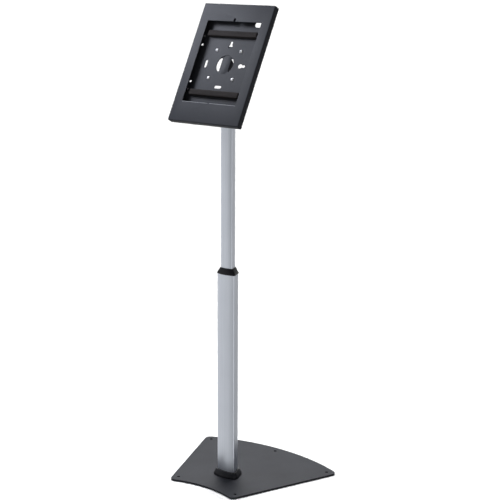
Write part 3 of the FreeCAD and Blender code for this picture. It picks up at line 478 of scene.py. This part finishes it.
COAT_COLOURS: tuple[Colour, Colour] = ((0.0285, 0.0305, 0.0370), (0.0225, 0.0240, 0.0295))
POWDER_BLACK = PowderCoat("powder_black", "black_powder_coat", *COAT_COLOURS, 0.50)
# The front frame's coat carries a painted highlight along the opening's bottom edge.
FRAME_BLACK = RimHighlightCoat("frame_black", "black_powder_coat", *COAT_COLOURS, 0.50)
BRACKET_COAT = PowderCoat("bracket_grey", "bracket_coat", *COAT_COLOURS, 0.48)
ANODISED = Anodised("anodised_satin", "anodised_aluminium",
                    (0.76, 0.80, 0.87), (0.69, 0.73, 0.80), 0.34)
MOULDED_BLACK = Moulded("moulded_black", "black_plastic",
                        (0.013, 0.013, 0.015), (0.009, 0.009, 0.011), 0.34)
# Painted light: the collar's black plastic made lighter on the foot trim, in place of light
# bounced up from the floor.
FOOT_BLACK_PAINTED_BOUNCE = Moulded("foot_black_painted_bounce", "black_plastic",
                     (0.025, 0.026, 0.031), (0.019, 0.020, 0.024), 0.34)
MOULDED_NATURAL = Moulded("moulded_natural", "slide_plastic",
                          (0.62, 0.61, 0.56), (0.54, 0.53, 0.49), 0.45)
PAD_RUBBER = Moulded("pad_rubber", "pad_rubber",
                     (0.022, 0.022, 0.022), (0.014, 0.014, 0.014), 0.75)
CAST = BareMetal("cast_blasted", "cast_aluminium",
                 (0.46, 0.47, 0.48), (0.36, 0.37, 0.38), 0.5)
RIVET = BareMetal("rivet_aluminium", "rivet_aluminium",
                  (0.60, 0.60, 0.62), (0.48, 0.48, 0.50), 0.45)
ZINC = BareMetal("zinc_plate", "zinc_steel",
                 (0.86, 0.86, 0.87), (0.72, 0.73, 0.75), 0.46)
# Painted highlight: a whiter, partly diffuse copy of the zinc plate, in place of the bright glints
# on the tray screws' heads.
SCREW_PLATE_PAINTED_GLINT = BareMetal("screw_plate_painted_glint", "zinc_steel",
                        (0.92, 0.92, 0.93), (0.84, 0.85, 0.87), 0.44, metallic=0.6)
OXIDE = BareMetal("black_oxide", "black_steel",
                  (0.030, 0.030, 0.032), (0.016, 0.016, 0.018), 0.38, metallic=0.6)
BRASS = BareMetal("plain_brass", "insert_brass",
                  (0.60, 0.45, 0.20), (0.45, 0.33, 0.14), 0.35)
CHROME = BareMetal("bright_chrome", "lock_chrome",
                   (0.80, 0.81, 0.82), (0.70, 0.71, 0.72), 0.12, grain_depth=0.002 * MM)
FOAM = CellFoam("cell_foam", "cell_foam",
                (0.026, 0.023, 0.023), (0.010, 0.009, 0.009), 0.95)


@dataclass(frozen=True)
class SubAssembly:
    """Common work of the sub-assemblies: finish and edges of the carried-over nodes."""

    nodes: Mapping[str, bpy.types.Object]
    weld_distance: float = 0.002 * MM
    flat_angle: float = math.radians(0.3)
    bevel_angle: float = math.radians(40.0)
    bevel_segments: int = 2
    split_angle: float = math.radians(32.0)

    def build(self) -> None:
        """Dress the sub-assembly's nodes; each sub-assembly does its own."""
        raise NotImplementedError

    def dress(self, names: Iterable[str], finish: Finish, edge: Edge) -> None:
        """Give carried-over nodes their finish and edges.

        Args:
            names: the nodes.
            finish: the finish they share.
            edge: how their edges are broken.
        """
        for name in names:
            node = self.nodes[name]
            node.data.materials.clear()
            node.data.materials.append(finish.material())
            self._soften(node, edge)
            LOG.info("dressed %s in %s", name, finish.name)

    def _soften(self, node: bpy.types.Object, edge: Edge) -> None:
        """Merge a node's triangles by modifiers and break its edges.

        Args:
            node: the carried-over node.
            edge: the width of the bevel.
        """
        for polygon in node.data.polygons:
            polygon.use_smooth = True
        weld = node.modifiers.new("weld", "WELD")
        weld.merge_threshold = self.weld_distance
        if edge is not Edge.SHARP:
            flat = node.modifiers.new("flat", "DECIMATE")
            flat.decimate_type = "DISSOLVE"
            flat.angle_limit = self.flat_angle
            bevel = node.modifiers.new("bevel", "BEVEL")
            bevel.width = edge.value
            bevel.segments = self.bevel_segments
            bevel.limit_method = "ANGLE"
            bevel.angle_limit = self.bevel_angle
            bevel.use_clamp_overlap = True
            bevel.harden_normals = False
        split = node.modifiers.new("split", "EDGE_SPLIT")
        split.split_angle = self.split_angle


class Base(SubAssembly):
    """Base plate, pads, foot trim and the bolts under the plate."""

    def build(self) -> None:
        """Dress every node of the base."""
        self.dress(["base_plate"], POWDER_BLACK, Edge.SHARP)
        self.dress(["floor_pads"], PAD_RUBBER, Edge.SOFT)
        # The foot trim gets the lighter copy of the black plastic: painted bounce light.
        self.dress(["foot_trim"], FOOT_BLACK_PAINTED_BOUNCE, Edge.SOFT)
        self.dress(["post_bolts"], ZINC, Edge.FINE)


class Posts(SubAssembly):
    """The two extruded posts with collar, bush, glide, height lock and post head."""

    def build(self) -> None:
        """Dress every node of the posts."""
        self.dress(["lower_post", "upper_post"], ANODISED, Edge.SHARP)
        self.dress(["collar"], MOULDED_BLACK, Edge.SOFT)
        self.dress(["guide_bush", "glide_block", "lock_shoe"], MOULDED_NATURAL, Edge.FINE)
        self.dress(["glide_screws"], ZINC, Edge.FINE)
        self.dress(["lock_insert"], BRASS, Edge.FINE)
        self.dress(["height_lock_screw", "head_screws"], OXIDE, Edge.FINE)
        self.dress(["post_head"], CAST, Edge.SOFT)


class TiltHead(SubAssembly):
    """Bracket, mounting plate and pivot."""

    def build(self) -> None:
        """Dress every node of the pivot and the bracket."""
        self.dress(["tilt_bracket", "mounting_plate"], BRACKET_COAT, Edge.FINE)
        self.dress(["friction_washers"], MOULDED_NATURAL, Edge.FINE)
        self.dress(["pivot_bolt", "pivot_nut", "pivot_washers"], ZINC, Edge.FINE)


class Case(SubAssembly):
    """Rear tray, front frame, hinges and lock."""

    def build(self) -> None:
        """Dress every node of the case."""
        self.dress(["rear_tray"], POWDER_BLACK, Edge.SHARP)
        # The front frame's finish paints a highlight along the opening's bottom edge.
        self.dress(["front_frame"], FRAME_BLACK, Edge.FINE)
        self.dress(["tray_hinge_leaves", "lock_keeper"], POWDER_BLACK, Edge.FINE)
        # The tray screws get the whiter copy of the zinc plate: painted highlight.
        self.dress(["tray_screws"], SCREW_PLATE_PAINTED_GLINT, Edge.FINE)
        self.dress(["hinge_pins", "lock_nut", "lock_cam", "cam_screw"], ZINC, Edge.FINE)
        self.dress(["hinge_rivets"], RIVET, Edge.FINE)
        self.dress(["lock_barrel", "lock_plug"], CHROME, Edge.FINE)


@dataclass(frozen=True)
class Wave:
    """One wave along the cut side of a strip: radians to a half length, phase and height."""

    radians: float
    phase: float
    height: float

    def at(self, along: float) -> float:
        """The wave's height at a place along the strip, from -1 to 1."""
        return math.sin(along * self.radians + self.phase) * self.height


@dataclass(frozen=True)
class FoamStrips:
    """The two foam strips that hold the tablet against the front frame."""

    place: CaseFrame = CaseFrame()
    body: Body = Body.HEAD
    above_case: tuple[tuple[str, float], ...] = (
        ("upper_foam_strip", 82.3 * MM),
        ("lower_foam_strip", -77.5 * MM),
    )
    length: float = 152.0 * MM
    width: float = 15.0 * MM
    thickness: float = 10.0 * MM
    floor_y: float = -22.6 * MM
    case_above_pivot: float = 11.3 * MM
    edge: float = 1.4 * MM
    edge_segments: int = 3
    edge_profile: float = 0.5
    lengths: int = 40
    rows: tuple[float, ...] = (-0.3, 0.0, 0.3)
    crown: float = 0.5 * MM
    end_crown: float = 0.5
    end_power: int = 8
    side_draw: float = 0.6 * MM
    even_share: float = 0.35
    wavy_share: float = 0.3
    waves: tuple[Wave, ...] = (Wave(9.0, 0.0, 0.4), Wave(23.0, 1.0, 0.2))

    def build(self) -> None:
        """Make both strips in place of their plain solids."""
        for node, above_case in self.above_case:
            piece = self._piece(f"{node}_cut", self._strip(above_case), FOAM)
            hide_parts(node)

    def _piece(self, name: str, mesh: bmesh.types.BMesh, finish: Finish) -> bpy.types.Object:
        """Turn a strip's mesh into a piece that rides on the strips' body.

        Args:
            name: the piece's name.
            mesh: its shape, in place; it is freed here.
            finish: its finish.

        Returns:
            The new object.
        """
        data = bpy.data.meshes.new(name)
        mesh.normal_update()
        mesh.to_mesh(data)
        mesh.free()
        piece = bpy.data.objects.new(name, data)
        bpy.context.scene.collection.objects.link(piece)
        data.materials.append(finish.material())
        for polygon in data.polygons:
            polygon.use_smooth = True
        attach(piece, self.body.value)
        LOG.info("made %s", name)
        return piece

    def _strip(self, above_case: float) -> bmesh.types.BMesh:
        """One strip: a block with soft edges, a faint crown and slightly uneven cut sides.

        Args:
            above_case: height of its middle above the case's centre.

        Returns:
            The strip, in place.
        """
        mesh = bmesh.new()
        bmesh.ops.create_cube(mesh, size=1.0)
        block = (self.length, self.thickness, self.width)
        bmesh.ops.scale(mesh, verts=mesh.verts, vec=block)
        bmesh.ops.bevel(mesh, geom=mesh.edges[:], offset=self.edge, offset_type="OFFSET",
                        segments=self.edge_segments, profile=self.edge_profile,
                        affect="EDGES", material=-1)
        for cut in range(1, self.lengths):
            x = (cut / self.lengths - 0.5) * self.length
            self._cut(mesh, (x, 0.0, 0.0), (1.0, 0.0, 0.0))
        for row in self.rows:
            self._cut(mesh, (0.0, 0.0, row * self.width), (0.0, 0.0, 1.0))
        for vertex in mesh.verts:
            self._settle(vertex)
        middle_y = self.floor_y - self.thickness / 2.0
        middle_z = self.case_above_pivot + above_case
        bmesh.ops.translate(mesh, verts=mesh.verts, vec=(0.0, middle_y, middle_z))
        bmesh.ops.transform(mesh, matrix=self.place.matrix(), verts=mesh.verts)
        return mesh

    @staticmethod
    def _cut(mesh: bmesh.types.BMesh, point: Point, normal: Point) -> None:
        """Add a loop of edges round the strip, in the plane of a point and a normal."""
        everything = mesh.verts[:] + mesh.edges[:] + mesh.faces[:]
        bmesh.ops.bisect_plane(mesh, geom=everything, plane_co=point, plane_no=normal)

    def _settle(self, vertex: bmesh.types.BMVert) -> None:
        """Crown the front and let the long sides draw in a little, unevenly along the strip.

        Args:
            vertex: a point of the strip about its own centre.
        """
        along = vertex.co.x / (self.length / 2.0)
        across = vertex.co.z / (self.width / 2.0)
        front = max(0.0, -vertex.co.y / (self.thickness / 2.0))
        wavy = sum(wave.at(along) for wave in self.waves)
        fall = across * across + self.end_crown * along ** self.end_power
        draw = self.even_share + self.wavy_share * wavy
        vertex.co.y += self.crown * front * fall
        vertex.co.z -= self.side_draw * across * front * draw


def towards(azimuth: float, elevation: float) -> Vector:
    """Unit vector towards a direction of the studio.

    Args:
        azimuth: degrees from the front, -Y, positive to the right.
        elevation: degrees above the floor.

    Returns:
        The direction.
    """
    turn, rise = math.radians(azimuth), math.radians(elevation)
    level = math.cos(rise)
    return Vector((math.sin(turn) * level, -math.cos(turn) * level, math.sin(rise)))


@dataclass(frozen=True)
class Viewpoint:
    """The photograph's viewpoint, worked out from the edges of case, posts and plate."""

    location: Point = (2.0434, -2.5965, 1.3813)
    azimuth: float = 37.22
    elevation: float = 12.984
    roll: float = 0.281
    lens: float = 95.41
    sensor: float = 36.0
    reach: float = 60.0

    def build(self) -> None:
        """Make the scene's camera."""
        turn, roll = math.radians(self.azimuth), math.radians(self.roll)
        back = towards(self.azimuth, self.elevation)
        right = Vector((math.cos(turn), math.sin(turn), 0.0))
        up = back.cross(right)
        side = right * math.cos(roll) + up * math.sin(roll)
        top = up * math.cos(roll) - right * math.sin(roll)
        data = bpy.data.cameras.new("viewpoint")
        data.lens = self.lens
        data.sensor_width = self.sensor
        data.clip_end = self.reach
        camera = bpy.data.objects.new("viewpoint", data)
        bpy.context.scene.collection.objects.link(camera)
        facing = Matrix((side, top, back)).transposed().to_4x4()
        camera.matrix_world = Matrix.Translation(Vector(self.location)) @ facing
        bpy.context.scene.camera = camera


def hang(data: bpy.types.Light, place: Vector, direction: Vector) -> None:
    """Set a light in the scene, unseen by the camera.

    Args:
        data: the light.
        place: where it stands.
        direction: from what it lights towards the light.
    """
    light = bpy.data.objects.new(data.name, data)
    light.visible_camera = False
    bpy.context.scene.collection.objects.link(light)
    light.location = place
    light.rotation_euler = direction.to_track_quat("Z", "Y").to_euler()


@dataclass(frozen=True)
class Lamp:
    """One far soft light: where it stands, how strong it is and how wide it looks."""

    name: str
    azimuth: float
    elevation: float
    strength: float
    spread: float

    def build(self) -> None:
        """Make the light."""
        data = bpy.data.lights.new(self.name, "SUN")
        data.energy = self.strength
        data.angle = math.radians(self.spread)
        hang(data, Vector(), towards(self.azimuth, self.elevation))


@dataclass(frozen=True)
class Panel:
    """One square soft box near the stand, aimed at a point of it."""

    name: str
    azimuth: float
    elevation: float
    distance: float
    size: float
    power: float
    target: Point
    colour: Colour = WHITE

    def build(self) -> None:
        """Make the light."""
        data = bpy.data.lights.new(self.name, "AREA")
        data.shape = "SQUARE"
        data.size = self.size
        data.energy = self.power
        data.color = self.colour
        direction = towards(self.azimuth, self.elevation)
        hang(data, Vector(self.target) + direction * self.distance, direction)


@dataclass(frozen=True)
class Glow:
    """A soft bright patch of the surroundings: its direction, radiance and two radii."""

    azimuth: float
    elevation: float
    radiance: float
    inner: float
    outer: float

    def add(self, graph: Graph, direction: Field) -> Field:
        """The patch's share of the light from a direction.

        Args:
            graph: the surroundings' tree.
            direction: where the light comes from.

        Returns:
            Its radiance as a field.
        """
        inputs = {0: direction, 1: tuple(towards(self.azimuth, self.elevation))}
        cosine = graph.node("ShaderNodeVectorMath", {"operation": "DOT_PRODUCT"}, inputs,
                            output="Value")
        share = cosine.step(math.cos(math.radians(self.outer)), math.cos(math.radians(self.inner)))
        return share * self.radiance


@dataclass(frozen=True)
class Studio:
    """Pale floor and backdrop, soft light and the surroundings that the finishes mirror."""

    room_radius: float = 45.0
    floor_segments: int = 96
    dome_subdivisions: int = 4
    floor_colour: Colour = (0.93, 0.93, 0.93)
    floor_roughness: float = 0.9
    backdrop_strength: float = 1.1
    base_radiance: float = 0.06
    ground_radiance: float = 0.34
    horizon_blur: float = 0.02
    lamps: tuple[Lamp | Panel, ...] = (
        Lamp("rear_top", -143.0, 60.0, 3.7, 36.0),
        Panel("left_key", -61.0, 37.0, 0.62, 0.32, 7.0, (-0.04, -0.03, 1.17), (0.94, 0.97, 1.06)),
        Panel("rear_fill", -140.0, -4.0, 1.4, 1.0, 3.4, (0.0, 0.05, 1.05)),
    )
    glows: tuple[Glow, ...] = (
        Glow(-150.0, 12.0, 0.21, 20.0, 52.0),
        Glow(-120.0, -12.0, 0.22, 10.0, 55.0),
        Glow(-48.0, -13.0, 0.34, 24.0, 56.0),
        Glow(62.0, -13.0, 0.80, 20.0, 36.0),
        Glow(0.0, 90.0, 0.18, 20.0, 60.0),
    )

    def build(self) -> None:
        """Make floor, backdrop, lights and surroundings."""
        self._floor()
        self._backdrop()
        self._surroundings()
        for lamp in self.lamps:
            lamp.build()

    def _floor(self) -> None:
        """A wide pale plane under the pads."""
        mesh = bmesh.new()
        bmesh.ops.create_circle(mesh, cap_ends=True, segments=self.floor_segments,
                                radius=self.room_radius)
        paint = {"Base Color": (*self.floor_colour, 1.0), "Roughness": self.floor_roughness,
                 "Specular IOR Level": 0.0}
        self._stand("studio_floor", mesh, paint)

    def _backdrop(self) -> None:
        """A white dome round the floor."""
        mesh = bmesh.new()
        bmesh.ops.create_icosphere(mesh, subdivisions=self.dome_subdivisions,
                                   radius=self.room_radius)
        paint = {"Base Color": (*BLACK, 1.0), "Emission Color": (*WHITE, 1.0),
                 "Emission Strength": self.backdrop_strength, "Specular IOR Level": 0.0}
        self._stand("studio_backdrop", mesh, paint).visible_shadow = False

    @staticmethod
    def _stand(name: str, mesh: bmesh.types.BMesh, paint: Mapping[str, Any]) -> bpy.types.Object:
        """Set up one piece of the studio, which only the camera sees.

        Args:
            name: the piece's name.
            mesh: its shape; it is freed here.
            paint: sockets of its shader.

        Returns:
            The new object.
        """
        data = bpy.data.meshes.new(name)
        mesh.to_mesh(data)
        mesh.free()
        piece = bpy.data.objects.new(name, data)
        bpy.context.scene.collection.objects.link(piece)
        material = bpy.data.materials.new(name)
        Graph(material).surface(paint)
        data.materials.append(material)
        piece.visible_diffuse = False
        piece.visible_glossy = False
        return piece

    def _surroundings(self) -> None:
        """Dim surroundings with soft bright patches, and a paler ground under the horizon."""
        world = bpy.data.worlds.new("surroundings")
        bpy.context.scene.world = world
        graph = Graph(world)
        direction = graph.node("ShaderNodeTexCoord", output="Generated")
        sky = graph.part(direction, "Z").step(-self.horizon_blur, self.horizon_blur)
        light = (1.0 - sky) * self.ground_radiance + self.base_radiance
        for glow in self.glows:
            light = light + glow.add(graph, direction)
        inputs = {"Color": (*WHITE, 1.0), "Strength": light}
        background = graph.node("ShaderNodeBackground", inputs=inputs)
        graph.node("ShaderNodeOutputWorld", inputs={"Surface": background})


def main() -> None:
    """Load the frame and build every sub-assembly in order."""
    logging.basicConfig(level=logging.INFO, format="%(name)s: %(message)s")
    for start_object in list(bpy.data.objects):
        bpy.data.objects.remove(start_object)
    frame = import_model()
    for sub_assembly in (Base, Posts, TiltHead, Case):
        sub_assembly(frame["nodes"]).build()
    FoamStrips().build()
    Studio().build()
    Viewpoint().build()
    bpy.context.scene.view_settings.view_transform = "Standard"


if __name__ == "__main__":
    main()
